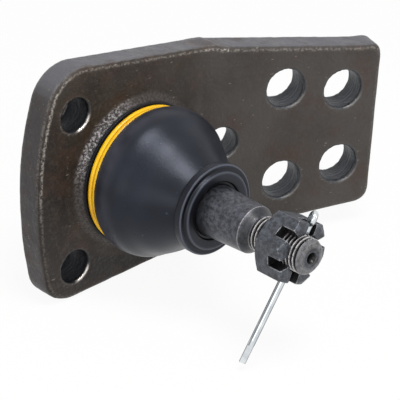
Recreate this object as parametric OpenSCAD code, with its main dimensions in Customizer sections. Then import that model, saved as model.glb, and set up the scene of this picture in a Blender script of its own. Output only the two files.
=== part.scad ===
// Suspension ball joint with a forged, bent bolt-on plate.
//
// The plate and the cup of the joint are one forging. A ball stud swings in two moulded shells inside
// the cup, a disc spring behind a rolled-in cover keeps them loaded, and a rubber boot held by a
// two-turn wire ring keeps the dirt out. The stud ends in a taper, a thread, a castle nut and a split pin.
//
// Everything is drawn about the centre of the ball, with the stud's axis along local z. The last step
// turns it so that the stud points along -Y and the plate stands upright, 15 mm thick in Y.

/* [Plate] */
// Thickness of the forged plate
plate_t = 15; // [10:0.5:20]
// Height of the plate's front face above the ball's centre
plate_front = 6; // [3:0.5:9]
// Distance from the stud's axis to the bend line
bend_x = 39; // [38:0.5:50]
// Angle by which the arm leans towards the stud
bend_angle = 21.5; // [5:0.5:35]
// Upper edge above the stud's axis, at the axis and at the bend
top_edge = [53.8, 49]; // [45:0.1:65]
// Lower edge below the stud's axis, at the axis and at the bend
bottom_edge = [50.8, 48.8]; // [45:0.1:65]
// Distance of the rounded end beyond the stud's axis
end_reach = 56.3; // [50:0.1:70]
// Height of the rounded end's outermost point
end_apex = -2.5; // [-5:0.1:5]
// Radius of the rounded end
end_bow = 157; // [120:1:300]
// Radius of the end's upper corner
end_top_r = 19; // [10:0.5:24]
// Radius of the end's lower corner
end_bottom_r = 16; // [10:0.5:24]
// Radius that rounds the plate's long edges
edge_r = 2.5; // [1:0.5:6]

/* [Arm] */
// Length of the arm from the bend line
arm_len = 90.1; // [85:0.1:120]
// Slant of the arm's end, in degrees
arm_end_slant = 1.4; // [0:0.1:5]
// Upper edge of the arm's end
arm_top = 39; // [34:0.1:48]
// Lower edge of the arm's end
arm_bottom = 41.2; // [34:0.1:48]
// Radius of the arm's upper corner
arm_top_r = 8.5; // [6:0.5:16]
// Radius of the arm's lower corner
arm_bottom_r = 9.5; // [6:0.5:16]

/* [Bolt holes] */
// Diameter of the two holes beside the joint
end_hole_d = 15.5; // [10:0.5:18]
// Distance of those holes from the stud's axis
end_hole_x = 35.4; // [33:0.1:38]
// Distance between those two holes
end_hole_pitch = 73.4; // [70:0.1:80]
// Diameter of the hole beside the bend
bend_hole_d = 15.5; // [10:0.5:18]
// Distance of that hole from the bend line
bend_hole_s = 11; // [10:0.5:16]
// Diameter of the four arm holes
arm_hole_d = 19; // [10:0.5:22]
// Distance of the inner pair from the bend line
inner_pair_s = 42.2; // [36:0.1:46]
// Distance between the holes of the inner pair
inner_pair_pitch = 46.8; // [30:0.1:50]
// Distance of the outer pair from the bend line
outer_pair_s = 71.6; // [70:0.1:74]
// Distance between the holes of the outer pair
outer_pair_pitch = 38.4; // [30:0.1:42]
// Chamfer at both mouths of every hole
hole_chamfer = 0.5; // [0.2:0.1:1.5]

/* [Cup] */
// Radius of the boss where it meets the plate's front
boss_foot_r = 37; // [35:0.5:38]
// Radius of the boss's top
boss_r = 33.6; // [32:0.1:35]
// Height of the boss above the plate's front
boss_h = 3.3; // [2:0.1:6]
// Radius of the spigot that the boot is clamped on
spigot_r = 27; // [25:0.5:29]
// Height of the spigot above the boss
spigot_h = 5.9; // [5:0.1:9]
// Radius of the cup behind the plate, at its back end
cup_r = 29.5; // [28:0.5:33]
// Widening of the cup where it meets the plate's back
cup_fillet = 4; // [1:0.5:6]
// Depth of the rolled rim that holds the cover
rim_h = 2.4; // [1.5:0.1:4]
// Width of the rolled rim over the cover
rim_w = 4; // [2:0.5:6]
// Radius of the cup's outer edge at its back end
rim_round = 2; // [1:0.1:3]
// Chamfer of the cup's turned edges
cup_chamfer = 0.6; // [0.3:0.1:1]

/* [Ball and bearing] */
// Diameter of the ball
ball_d = 36; // [30:0.5:38]
// Depth of the flat on the ball's back
ball_flat = 2.4; // [1:0.1:4]
// Running gap between the ball and its shells
seat_gap = 0.1; // [0.05:0.01:0.2]
// Wall of the shells at the ball's equator
shell_wall = 4.3; // [3:0.1:5]
// Height of the upper shell
upper_shell_h = 9.8; // [8:0.1:11]
// Thickness of the lower shell behind its seat
lower_floor = 1; // [0.5:0.1:3]
// Thickness of the pressure cup
pressure_t = 2; // [1:0.1:3]
// Thickness of the disc spring
spring_t = 1.5; // [0.8:0.1:2.5]
// Free height of the disc spring's cone
spring_h = 1.4; // [0.8:0.1:2.5]
// Thickness of the cover
cover_t = 3; // [2:0.1:4]
// Fitting gap between pieces of the cup
fit_gap = 0.05; // [0.02:0.01:0.2]
// Swing of the stud to either side, about each of two square axes, in degrees
swing = 15; // [5:1:16]
// Room left around the neck at the end of the swing
swing_gap = 0.8; // [0.4:0.1:1.5]
// Radius of the grease well in the lower shell
well_r = 7; // [4:0.5:9]
// Inner radius of the disc spring
spring_in_r = 8; // [5:0.5:12]
// Depth of the dish pressed into the cover
cover_dish = 1.2; // [0.5:0.1:2]
// Width of the dish's sloping side
cover_slope = 3.6; // [2:0.1:6]
// Flat left between the dish and the rolled rim
cover_flat = 1; // [0.5:0.1:3]
// Step between the bore for the shells and the seat of the cover
cover_step = 1.5; // [1:0.1:3]

/* [Stud] */
// Radius of the neck above the ball
neck_r = 10.6; // [9:0.1:11.5]
// Height where the neck starts to widen, above the ball's centre
neck_h = 34; // [30:0.5:38]
// Height where the taper starts, above the ball's centre
taper_start = 44; // [40:0.5:50]
// Height of the shoulder at the taper's small end, above the ball's centre
shoulder_h = 81.6; // [75:0.1:90]
// Radius of the taper's small end
shoulder_r = 10.7; // [9:0.1:13]
// Taper on diameter, as one in this many
taper_ratio = 12; // [8:1:16]
// Major diameter of the thread
thread_d = 16; // [12:1:18]
// Height of the start of the thread, which is drawn as a plain cylinder
thread_start = 85.3; // [83:0.1:95]
// Height of the stud's end, above the ball's centre
stud_end = 114.7; // [110:0.1:120]
// Chamfer of the thread's end
end_chamfer = 1.3; // [0.5:0.1:2]
// Diameter of the centre drilled in the stud's end
centre_d = 5; // [2:0.1:6]

/* [Castle nut] */
// Width across flats
nut_af = 27; // [24:0.5:30]
// Height of the nut's bearing face, above the ball's centre
nut_base = 94.7; // [90:0.1:100]
// Height of the nut
nut_h = 15.3; // [13:0.1:20]
// Width of the slots
slot_w = 5; // [4:0.1:6]
// Depth of the slots
slot_depth = 7.2; // [5:0.1:9]
// Width of the ring that the chamfer leaves between its edge and the flats
nut_bevel_w = 0.5; // [0.2:0.1:1]
// Direction of one corner about the stud's axis, in degrees
nut_turn = 35.6; // [0:0.1:60]
// Gap in the nut's thread
thread_gap = 0.1; // [0.05:0.01:0.2]

/* [Split pin] */
// Diameter of the two closed legs
pin_d = 3.1; // [2.5:0.1:3.2]
// Gap between the legs
leg_gap = 0.1; // [0.05:0.01:0.3]
// Outer diameter of the eye
eye_d = 6.8; // [6.2:0.1:9]
// Distance from the stud's axis to the eye's centre
eye_reach = 15.5; // [14.5:0.1:20]
// Length of the long leg from the eye's centre
long_leg = 69.5; // [40:0.5:80]
// Length of the short leg from the eye's centre
short_leg = 54; // [35:0.5:70]
// Lean of the pin in its hole, in degrees
pin_lean = 7.5; // [0:0.1:8]
// Turn of the legs about the pin's own axis, in degrees
pin_roll = 130; // [0:1:180]
// Radius of the bends between the eye and the legs
eye_bend = 3; // [2:0.1:5]
// Turn left out at each side of the eye, where it runs into the bends, in degrees
eye_gap = 12; // [8:1:20]
// Room around the leaning pin, in the stud's hole and over the slots' floor
pin_gap = 0.15; // [0.05:0.01:0.3]
// Countersink of the stud's cross hole
pin_hole_chamfer = 0.8; // [0.3:0.1:1.2]

/* [Boot] */
// Wall of the rubber boot
boot_wall = 3.2; // [2:0.1:4]
// Distance from the boss to the boot's neck
boot_h = 43.2; // [38:0.1:45]
// Radius of the boot's neck
boot_neck_r = 17; // [16.4:0.1:18]
// Radius of the lip's flange
lip_r = 21; // [19:0.1:24]
// Rise from the neck to the lip's flange
lip_rise = 1.4; // [0.8:0.1:2]
// Thickness of the lip's flange
lip_h = 3.6; // [3:0.1:5]
// Height of the ridge inside the flange
ridge_h = 1.4; // [0.8:0.1:2]
// Outer radius of that ridge
ridge_r = 17.6; // [17.4:0.1:18.4]
// Slant of the flange's and the ridge's edges
lip_edge = 1; // [0.5:0.1:1.2]
// Radius of the bead under the wire ring
bead_r = 33.3; // [33:0.1:34]
// Thickness of that bead
bead_h = 0.6; // [0.4:0.1:2]
// Gap between the rubber and the metal
rubber_gap = 0.2; // [0.15:0.05:0.4]
// Radial width of the stiffening ring in the lip
lip_ring_w = 3.2; // [2:0.1:3.4]
// Height of the stiffening ring in the lip
lip_ring_h = 3.5; // [2:0.1:4]

/* [Wire ring] */
// Diameter of the wire
wire_d = 2.5; // [1.5:0.1:3]
// Outer diameter of the ring
ring_d = 65.2; // [64:0.1:66]
// Gap between its two turns
turn_gap = 0.05; // [0.02:0.01:0.2]
// Stretch where one turn crosses over to the next, in degrees
wire_cross = 30; // [20:5:60]

/* [Hidden] */
$fn = 64;

steel_brown = "#4a4541";
steel_dark = "#3f4146";
steel_bright = "#b9bcc2";
rubber_black = "#2e3036";
ring_yellow = "#f5c018";
nylon_white = "#dcd8cc";

// How far a cut runs past the face that it opens
over = 1;
// Sides of the ball that rounds the plate's edges
edge_fn = 32;

plate_back = plate_front - plate_t;
boss_top = plate_front + boss_h;
mouth_z = boss_top + spigot_h;

ball_r = ball_d / 2;
seat_r = ball_r + seat_gap;
bore_r = ball_r + shell_wall;
lip_z = upper_shell_h + fit_gap;

// Lean of the stud when both swings are at their ends
lean = acos(cos(swing) * cos(swing));
// Radius that the leaning neck needs at a height above the ball's centre
function swing_r(z) = z * tan(lean) + neck_r / cos(lean) + swing_gap;

// The stack behind the ball, from the lower shell back to the rolled rim
lower_back = -seat_r - lower_floor;
pressure_front = lower_back - fit_gap;
spring_front = pressure_front - pressure_t - fit_gap;
cover_front = spring_front - spring_h - spring_t - fit_gap;
rim_front = cover_front - cover_t - fit_gap;
cup_back = rim_front - rim_h;
cover_r = bore_r + cover_step;

// Radius of the taper at a height above the ball's centre
function taper_r(z) = shoulder_r + (shoulder_h - z) / taper_ratio / 2;

thread_r = thread_d / 2;
nut_corner_r = nut_af / 2 / cos(30);
slot_floor = nut_base + nut_h - slot_depth;

// The pin crosses two flats of the nut and just clears the slot's floor where its legs leave
pin_r = pin_d / 2;
pin_turn = nut_turn + 30;
pin_z = slot_floor + nut_af / 2 * tan(pin_lean) + pin_r / cos(pin_lean) + pin_gap;
pin_hole_r = (thread_r - pin_hole_chamfer) * tan(pin_lean) + pin_r / cos(pin_lean) + pin_gap;

// The boot's base, the ring's two turns in their groove, and the lip
boot_base = boss_top + rubber_gap;
ring_r = (ring_d - wire_d) / 2;
turn_pitch = wire_d + turn_gap;
turn_z = boot_base + bead_h + rubber_gap + wire_d / 2;
groove_r = ring_r - wire_d / 2 - rubber_gap;
groove_top = turn_z + turn_pitch + wire_d / 2 + rubber_gap;
boot_neck = boss_top + boot_h;
lip_in_r = taper_r(boot_neck) + rubber_gap;
lip_ring_z = boot_neck + lip_rise;

// Unit vector from one point to another
function toward(a, b) = (b - a) / norm(b - a);

// Left-hand normal of the edge from a to b, which points inward on an outline that runs anticlockwise
function inward(a, b) = let (u = toward(a, b)) [-u.y, u.x];

// Points of an arc about a centre
function arc(c, r, a0, a1, n) = [
    for (i = [0:n])
        let (a = a0 + (a1 - a0) * i / n)
        c + r * [cos(a), sin(a)]
];

// Centre of a circle of radius r that touches two edges, each given by a point and its inward normal
function between_edges(a, n, b, m, r) =
    let (
        p = a * n + r,
        q = b * m + r
    )
    [p * m.y - q * n.y, q * n.x - p * m.x] / (n.x * m.y - n.y * m.x);

// Centre of a circle of radius r that touches an edge, and the left of a bow of radius bow about c
function edge_and_bow(a, n, r, c, bow) =
    let (
        u = [abs(n.y), -n.x * sign(n.y)],
        q = a + n * r - c,
        along = q * u
    )
    c + q - u * (along + sqrt(along * along - q * q + pow(bow - r, 2)));

// Smooth curve through a list of points, with n steps between neighbours
function spline(pts, n) = [
    for (i = [0:len(pts) - 2], k = [0:n - 1])
        let (
            a = pts[max(i - 1, 0)],
            b = pts[i],
            c = pts[i + 1],
            d = pts[min(i + 2, len(pts) - 1)],
            t = k / n
        )
        b + ((c - a) * t + (2 * a - 5 * b + 4 * c - d) * t * t + (3 * b - a - 3 * c + d) * t * t * t) / 2,
    pts[len(pts) - 1]
];

// Hollow curve from a foot radius at height z0 to a smaller radius at height z1, as a forged fillet has
function fillet(foot_r, z0, r, z1, n) = [
    for (i = [0:n])
        let (t = i / n)
        [r + (foot_r - r) * pow(1 - t, 2), z0 + (z1 - z0) * t]
];
function reversed(list) = [for (i = [len(list) - 1:-1:0]) list[i]];

// Skin over a row of rings that all have the same number of points
module skin(rings) {
    n = len(rings[0]);
    last = len(rings) - 1;
    walls = [
        for (i = [0:last - 1], k = [0:n - 1])
            [i * n + k, i * n + (k + 1) % n, (i + 1) * n + (k + 1) % n, (i + 1) * n + k]
    ];
    ends = [[for (k = [n - 1:-1:0]) k], [for (k = [0:n - 1]) last * n + k]];
    polyhedron([for (ring = rings) each ring], concat(walls, ends));
}

// Turns the stud's axis from local z to -Y, and the plate's width upright
module stand() {
    rotate([90, 0, 0])
        children();
}

// Outline of the flat part around the joint, less a margin that the rounded edge adds again
module end_outline(margin) {
    past = plate_t / 2;
    bow_c = [end_bow - end_reach, end_apex];
    top_n = inward([bend_x, top_edge[1]], [0, top_edge[0]]);
    bottom_n = inward([0, -bottom_edge[0]], [bend_x, -bottom_edge[1]]);
    top_c = edge_and_bow([0, top_edge[0]], top_n, end_top_r, bow_c, end_bow);
    bottom_c = edge_and_bow([0, -bottom_edge[0]], bottom_n, end_bottom_r, bow_c, end_bow);
    top_a = atan2(top_c.y - bow_c.y, top_c.x - bow_c.x);
    bottom_a = 360 + atan2(bottom_c.y - bow_c.y, bottom_c.x - bow_c.x);
    from = atan2(-top_n.y, -top_n.x);
    to = 360 + atan2(-bottom_n.y, -bottom_n.x);
    polygon(concat(
        [[bend_x + past, margin - bottom_edge[1]], [bend_x + past, top_edge[1] - margin]],
        [[bend_x, top_edge[1] - margin]],
        arc(top_c, end_top_r - margin, from, top_a, 8),
        arc(bow_c, end_bow - margin, top_a, bottom_a, 8),
        arc(bottom_c, end_bottom_r - margin, bottom_a, to, 8),
        [[bend_x, margin - bottom_edge[1]]]
    ));
}

// Outline of the arm, drawn flat from the bend line, less the same margin
module arm_outline(margin) {
    past = plate_t / 2;
    end_c = [arm_len, 0];
    end_n = [-cos(arm_end_slant), sin(arm_end_slant)];
    top_n = inward([arm_len, arm_top], [0, top_edge[1]]);
    bottom_n = inward([0, -bottom_edge[1]], [arm_len, -arm_bottom]);
    top_c = between_edges([arm_len, arm_top], top_n, end_c, end_n, arm_top_r);
    bottom_c = between_edges([arm_len, -arm_bottom], bottom_n, end_c, end_n, arm_bottom_r);
    end_a = -arm_end_slant;
    polygon(concat(
        [[0, top_edge[1] - margin], [-past, top_edge[1] - margin], [-past, margin - bottom_edge[1]]],
        [[0, margin - bottom_edge[1]]],
        arc(bottom_c, arm_bottom_r - margin, atan2(-bottom_n.y, -bottom_n.x), end_a, 6),
        arc(top_c, arm_top_r - margin, end_a, atan2(-top_n.y, -top_n.x), 6)
    ));
}

// Side view of the bent plate, less the margin on both faces. Its back is rounded about the inner edge
module side_view(margin) {
    reach = 2 * (end_reach + arm_len);
    back = plate_t - margin;
    along = [cos(bend_angle), sin(bend_angle)];
    up = [-along.y, along.x];
    polygon(concat(
        [[margin * tan(bend_angle / 2), -margin], [-reach, -margin], [-reach, -back]],
        arc([0, 0], back, -90, bend_angle - 90, 6),
        [along * reach - up * back, along * reach - up * margin]
    ));
}

// Bent plate with its edges rounded all the way round, its front face at height 0
module plate() {
    minkowski() {
        intersection() {
            translate([bend_x, 0, 0])
                rotate([90, 0, 0])
                    linear_extrude(4 * top_edge[0], center = true)
                        side_view(edge_r);
            union() {
                translate([0, 0, -plate_t])
                    linear_extrude(plate_t)
                        end_outline(edge_r);
                on_arm()
                    translate([0, 0, -plate_t])
                        linear_extrude(plate_t)
                            arm_outline(edge_r);
            }
        }
        rotate_extrude($fn = edge_fn)
            polygon(arc([0, 0], edge_r, -90, 90, edge_fn / 2));
    }
}

// Places its children on the arm's front face, with x along the arm from the bend line
module on_arm() {
    translate([bend_x, 0, 0])
        rotate([0, -bend_angle, 0])
            children();
}

// Cutter for a hole through the plate, chamfered at both mouths
module plate_hole(x, y, d) {
    translate([x, y, 0]) {
        translate([0, 0, -plate_t - over])
            cylinder(d = d, h = plate_t + 2 * over);
        for (face = [0, 1])
            translate([0, 0, -face * plate_t])
                mirror([0, 0, face])
                    translate([0, 0, -hole_chamfer])
                        cylinder(d1 = d, d2 = d + 2 * hole_chamfer + 2 * over, h = hole_chamfer + over);
    }
}

// Outside of the cup, from its rolled back rim through the plate to the spigot
module cup_outside() {
    rotate_extrude()
        polygon(concat(
            [[0, cup_back]],
            arc([cup_r - rim_round, cup_back + rim_round], rim_round, -90, 0, 6),
            reversed(fillet(cup_r + cup_fillet, plate_back, cup_r, plate_back - 2 * cup_fillet, 6)),
            [[cup_r + cup_fillet, plate_back + over], [boss_foot_r, plate_front - over]],
            fillet(boss_foot_r, plate_front, boss_r, boss_top - cup_chamfer, 6),
            [[boss_r - cup_chamfer, boss_top], [spigot_r, boss_top], [spigot_r, mouth_z - cup_chamfer]],
            [[spigot_r - cup_chamfer, mouth_z], [0, mouth_z]]
        ));
}

// Room for the shells, the stack behind them and the cover
module cup_bore() {
    rotate_extrude()
        polygon([
            [0, cup_back - over], [cover_r - rim_w, cup_back - over], [cover_r - rim_w, rim_front],
            [cover_r + fit_gap, rim_front], [cover_r + fit_gap, cover_front], [bore_r, cover_front],
            [bore_r, lip_z], [0, lip_z]
        ]);
}

// Cone that the neck sweeps at the ends of its swings
module swing_room() {
    cylinder(r1 = swing_r(0), r2 = swing_r(mouth_z + over), h = mouth_z + over);
}

module plate_housing() {
    color(steel_brown)
        stand()
            difference() {
                union() {
                    translate([0, 0, plate_front])
                        plate();
                    cup_outside();
                }
                cup_bore();
                swing_room();
                translate([0, 0, plate_front]) {
                    for (side = [-1, 1])
                        plate_hole(-end_hole_x, side * end_hole_pitch / 2, end_hole_d);
                    on_arm() {
                        plate_hole(bend_hole_s, 0, bend_hole_d);
                        for (side = [-1, 1]) {
                            plate_hole(inner_pair_s, side * inner_pair_pitch / 2, arm_hole_d);
                            plate_hole(outer_pair_s, side * outer_pair_pitch / 2, arm_hole_d);
                        }
                    }
                }
            }
}

module upper_bearing() {
    color(nylon_white)
        stand()
            difference() {
                translate([0, 0, fit_gap])
                    cylinder(r = bore_r - fit_gap, h = upper_shell_h - fit_gap);
                sphere(seat_r);
                swing_room();
            }
}

module lower_bearing() {
    color(nylon_white)
        stand()
            difference() {
                translate([0, 0, lower_back])
                    cylinder(r = bore_r - fit_gap, h = -lower_back - fit_gap);
                sphere(seat_r);
                translate([0, 0, lower_back - over])
                    cylinder(r = well_r, h = -lower_back);
            }
}

module pressure_cup() {
    color(steel_bright)
        stand()
            translate([0, 0, pressure_front - pressure_t])
                difference() {
                    cylinder(r = bore_r - fit_gap, h = pressure_t);
                    translate([0, 0, -over])
                        cylinder(r = well_r, h = pressure_t + 2 * over);
                }
}

module disc_spring() {
    outer_r = bore_r - cover_step;
    color(steel_dark)
        stand()
            rotate_extrude()
                polygon([
                    [spring_in_r, spring_front], [spring_in_r, spring_front - spring_t],
                    [outer_r, spring_front - spring_h - spring_t], [outer_r, spring_front - spring_h]
                ]);
}

module cover_plate() {
    dish_r = cover_r - rim_w - cover_flat;
    color(steel_bright)
        stand()
            rotate_extrude()
                polygon([
                    [0, cover_front - cover_dish], [dish_r - cover_slope, cover_front - cover_dish],
                    [dish_r, cover_front], [cover_r, cover_front], [cover_r, cover_front - cover_t],
                    [dish_r, cover_front - cover_t],
                    [dish_r - cover_slope, cover_front - cover_t - cover_dish],
                    [0, cover_front - cover_t - cover_dish]
                ]);
}

// Cross hole for the split pin, countersunk at both mouths
module cross_hole() {
    translate([0, 0, pin_z])
        rotate([0, 0, pin_turn])
            rotate([0, 90, 0]) {
                cylinder(r = pin_hole_r, h = 2 * thread_r + 2 * over, center = true);
                for (side = [0, 1])
                    mirror([0, 0, side])
                        translate([0, 0, thread_r - pin_hole_chamfer])
                            cylinder(r1 = pin_hole_r, r2 = pin_hole_r + pin_hole_chamfer + over,
                                h = pin_hole_chamfer + over);
            }
}

module ball_stud() {
    centre_h = centre_d / 2 / tan(30);
    color(steel_dark)
        stand()
            difference() {
                union() {
                    sphere(ball_r);
                    rotate_extrude()
                        polygon([
                            [0, 0], [neck_r, 0], [neck_r, neck_h], [taper_r(taper_start), taper_start],
                            [shoulder_r, shoulder_h], [thread_r, thread_start],
                            [thread_r, stud_end - end_chamfer], [thread_r - end_chamfer, stud_end],
                            [0, stud_end]
                        ]);
                }
                translate([0, 0, -ball_r - over])
                    cylinder(r = ball_r, h = ball_flat + over);
                cross_hole();
                translate([0, 0, stud_end - centre_h])
                    cylinder(r1 = 0, r2 = centre_d / 2 * (1 + over / centre_h), h = centre_h + over);
            }
}

// Outer curve of the boot from the ring's groove to its neck
function boot_curve() =
    let (
        base_r = ring_d / 2 + 2 * rubber_gap,
        stations = [
            [1, 0], [1.1, 0.12], [1.05, 0.29], [0.84, 0.45], [0.625, 0.61], [0.37, 0.77], [0.12, 0.93], [0, 1]
        ]
    )
    spline([
        for (s = stations)
            [boot_neck_r + s.x * (base_r - boot_neck_r), groove_top + s.y * (boot_neck - groove_top)]
    ], 4);

module dust_boot() {
    inner_r = spigot_r + rubber_gap;
    outer = boot_curve();
    slope = 35;
    inner = [
        for (p = reversed(outer))
            if (p.y > mouth_z + boot_wall)
                [p.x - boot_wall / cos(slope), p.y]
    ];
    pocket_r = lip_in_r + lip_ring_w + fit_gap;
    pocket_top = lip_ring_z + lip_ring_h + fit_gap;
    flange_z = boot_neck + lip_rise;
    flange_top = flange_z + lip_h;
    ridge_top = flange_top + ridge_h;
    edge_h = 0.6 * lip_edge;
    color(rubber_black)
        stand()
            rotate_extrude()
                polygon(concat(
                    [[inner_r, boot_base], [bead_r, boot_base], [bead_r, boot_base + bead_h]],
                    [[groove_r, boot_base + bead_h], [groove_r, groove_top]],
                    outer,
                    [[lip_r - lip_edge, boot_neck + edge_h], [lip_r, flange_z], [lip_r, flange_top - edge_h]],
                    [[lip_r - lip_edge, flange_top], [ridge_r + lip_edge, flange_top], [ridge_r, ridge_top]],
                    [[ridge_r - ridge_h, ridge_top], [lip_in_r, flange_top + edge_h]],
                    [[lip_in_r, pocket_top], [pocket_r, pocket_top], [pocket_r, lip_ring_z - fit_gap]],
                    [[lip_in_r, lip_ring_z - fit_gap], [lip_in_r, boot_neck + rubber_gap]],
                    inner,
                    [[inner_r, mouth_z + 1]]
                ));
}

// Two flat turns of wire. One turn crosses over to the next along a short stretch, behind the boot
module clamp_ring() {
    step = 5;
    sides = 10;
    color(ring_yellow)
        stand()
            skin([
                for (a = [0:step:720 - wire_cross - step])
                    let (
                        t = min(max((a - 360 + wire_cross) / wire_cross, 0), 1),
                        z = turn_z + turn_pitch * t * t * (3 - 2 * t)
                    )
                    [
                        for (p = arc([ring_r, z], wire_d / 2, 0, 360 - 360 / sides, sides - 1))
                            [p.x * cos(a), p.x * sin(a), p.y]
                    ]
            ]);
}

module lip_ring() {
    color(steel_bright)
        stand()
            translate([0, 0, lip_ring_z])
                difference() {
                    cylinder(r = lip_in_r + lip_ring_w, h = lip_ring_h);
                    translate([0, 0, -over])
                        cylinder(r = lip_in_r, h = lip_ring_h + 2 * over);
                }
}

module castle_nut() {
    face_r = nut_af / 2 - nut_bevel_w;
    bevel = (nut_corner_r - face_r) * tan(30);
    bore = thread_r + thread_gap;
    color(steel_dark)
        stand()
            translate([0, 0, nut_base])
                rotate([0, 0, nut_turn])
                    difference() {
                        intersection() {
                            cylinder(r = nut_corner_r, h = nut_h, $fn = 6);
                            rotate_extrude()
                                polygon([
                                    [0, 0], [face_r, 0], [nut_corner_r, bevel],
                                    [nut_corner_r, nut_h - bevel], [face_r, nut_h], [0, nut_h]
                                ]);
                        }
                        translate([0, 0, -over])
                            cylinder(r = bore, h = nut_h + 2 * over);
                        for (face = [0, 1])
                            translate([0, 0, face * nut_h])
                                mirror([0, 0, face])
                                    translate([0, 0, -over])
                                        cylinder(r1 = bore + 2 * over, r2 = bore, h = 2 * over);
                        for (k = [0:2])
                            rotate([0, 0, 30 + 60 * k])
                                translate([-nut_corner_r, -slot_w / 2, nut_h - slot_depth])
                                    cube([2 * nut_corner_r, slot_w, slot_depth + over]);
                    }
}

// Centre line of the split pin's flat side, with the eye's centre at the origin and the legs along x
function pin_path() =
    let (
        c = leg_gap / 2,
        loop_r = eye_d / 2 - pin_r,
        bend_at = sqrt(pow(loop_r + eye_bend, 2) - pow(c + eye_bend, 2)),
        open = atan2(c + eye_bend, bend_at)
    )
    concat(
        [[short_leg, c]],
        arc([bend_at, c + eye_bend], eye_bend, 270, 180 + open, 5),
        arc([0, 0], loop_r, open + eye_gap, 360 - eye_gap - open, 20),
        arc([bend_at, -c - eye_bend], eye_bend, 180 - open, 90, 5),
        [[long_leg, -c]]
    );

module cotter_pin() {
    path = pin_path();
    last = len(path) - 1;
    color(steel_bright)
        stand()
            translate([0, 0, pin_z])
                rotate([0, pin_lean, pin_turn + 180])
                    rotate([pin_roll, 0, 0])
                        translate([-eye_reach, 0, 0])
                            skin([
                                for (i = [0:last])
                                    let (
                                        u = toward(path[max(i - 1, 0)], path[min(i + 1, last)]),
                                        out = [u.y, -u.x]
                                    )
                                    [
                                        for (q = arc([0, 0], pin_r, 0, 180, 8))
                                            let (p = path[i] + out * q.y)
                                            [p.x, p.y, q.x]
                                    ]
                            ]);
}

plate_housing();
upper_bearing();
lower_bearing();
pressure_cup();
disc_spring();
cover_plate();
ball_stud();
dust_boot();
clamp_ring();
lip_ring();
castle_nut();
cotter_pin();
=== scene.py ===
import math

import bmesh
import bpy
import numpy as np
from mathutils import Matrix, Vector, noise


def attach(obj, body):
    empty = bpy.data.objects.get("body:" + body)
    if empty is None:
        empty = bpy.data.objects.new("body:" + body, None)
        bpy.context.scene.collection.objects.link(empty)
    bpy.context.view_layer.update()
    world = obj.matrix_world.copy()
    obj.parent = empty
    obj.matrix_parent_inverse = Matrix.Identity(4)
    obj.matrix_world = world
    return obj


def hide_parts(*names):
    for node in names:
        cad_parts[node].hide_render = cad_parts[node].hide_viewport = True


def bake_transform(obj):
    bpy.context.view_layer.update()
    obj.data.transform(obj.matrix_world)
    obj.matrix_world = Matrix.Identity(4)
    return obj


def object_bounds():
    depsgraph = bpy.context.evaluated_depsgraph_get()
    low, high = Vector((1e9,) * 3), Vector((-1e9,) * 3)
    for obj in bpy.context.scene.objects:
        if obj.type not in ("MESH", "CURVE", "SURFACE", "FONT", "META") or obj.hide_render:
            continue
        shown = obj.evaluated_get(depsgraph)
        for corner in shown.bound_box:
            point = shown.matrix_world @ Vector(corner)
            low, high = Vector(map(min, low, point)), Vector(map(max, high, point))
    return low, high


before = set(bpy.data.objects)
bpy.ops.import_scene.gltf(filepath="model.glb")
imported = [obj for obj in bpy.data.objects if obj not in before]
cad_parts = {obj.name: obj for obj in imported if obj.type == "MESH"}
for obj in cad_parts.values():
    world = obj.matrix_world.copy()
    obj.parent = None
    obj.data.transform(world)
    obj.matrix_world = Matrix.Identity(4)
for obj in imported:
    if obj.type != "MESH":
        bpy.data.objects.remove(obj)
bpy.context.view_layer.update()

scene = bpy.context.scene

# Lengths below are in millimetres, about the centre of the ball: x along the plate, y up its width and
# z along the stud, away from the plate. at() turns them into the row's frame, where the stud points along -Y.
MM = 0.001
TURN = 2 * math.pi


def at(x, y, z):
    """A place in mm about the ball's centre as one in metres in the row's frame."""
    return (x * MM, -z * MM, y * MM)


# ---------------------------------------------------------------- camera and lamps

# The place, turn and lens come from a perspective fit to about 70 points of the photograph.
camera = bpy.data.objects.new("camera", bpy.data.cameras.new("camera"))
scene.collection.objects.link(camera)
camera.location = (-0.533884, -0.599470, 0.384374)
camera.rotation_euler = (1.107578, -0.030196, -0.753763)
camera.data.sensor_width = 36
camera.data.lens = 178.134
camera.data.clip_start, camera.data.clip_end = 0.05, 20
scene.camera = camera
scene.view_settings.view_transform = "Standard"

LIT_MIDDLE = Vector((0.02, -0.03, 0))


def softbox(name, place, size, watts):
    """A square soft lamp that faces the object. Places and sizes are in metres, in the row's frame."""
    lamp = bpy.data.lights.new(name, "AREA")
    lamp.shape, lamp.size, lamp.energy = "SQUARE", size, watts
    made = bpy.data.objects.new(name, lamp)
    scene.collection.objects.link(made)
    made.location = place
    made.rotation_euler = (LIT_MIDDLE - Vector(place)).to_track_quat("-Z", "Y").to_euler()


softbox("overhead_softbox", (-0.11, -0.42, 1.10), 0.5, 10.2)
softbox("front_softbox", (-0.55, -0.95, 0.62), 0.45, 2.4)
softbox("left_softbox", (-1.0, -0.5, 0.12), 0.5, 1.4)
softbox("right_softbox", (0.75, -1.0, 0.3), 0.6, 1.0)


# ---------------------------------------------------------------- materials


def colour(code):
    """An sRGB hex colour as linear RGBA."""
    parts = [int(code[i : i + 2], 16) / 255 for i in (1, 3, 5)]
    return (*[c / 12.92 if c <= 0.04045 else ((c + 0.055) / 1.055) ** 2.4 for c in parts], 1)


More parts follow.
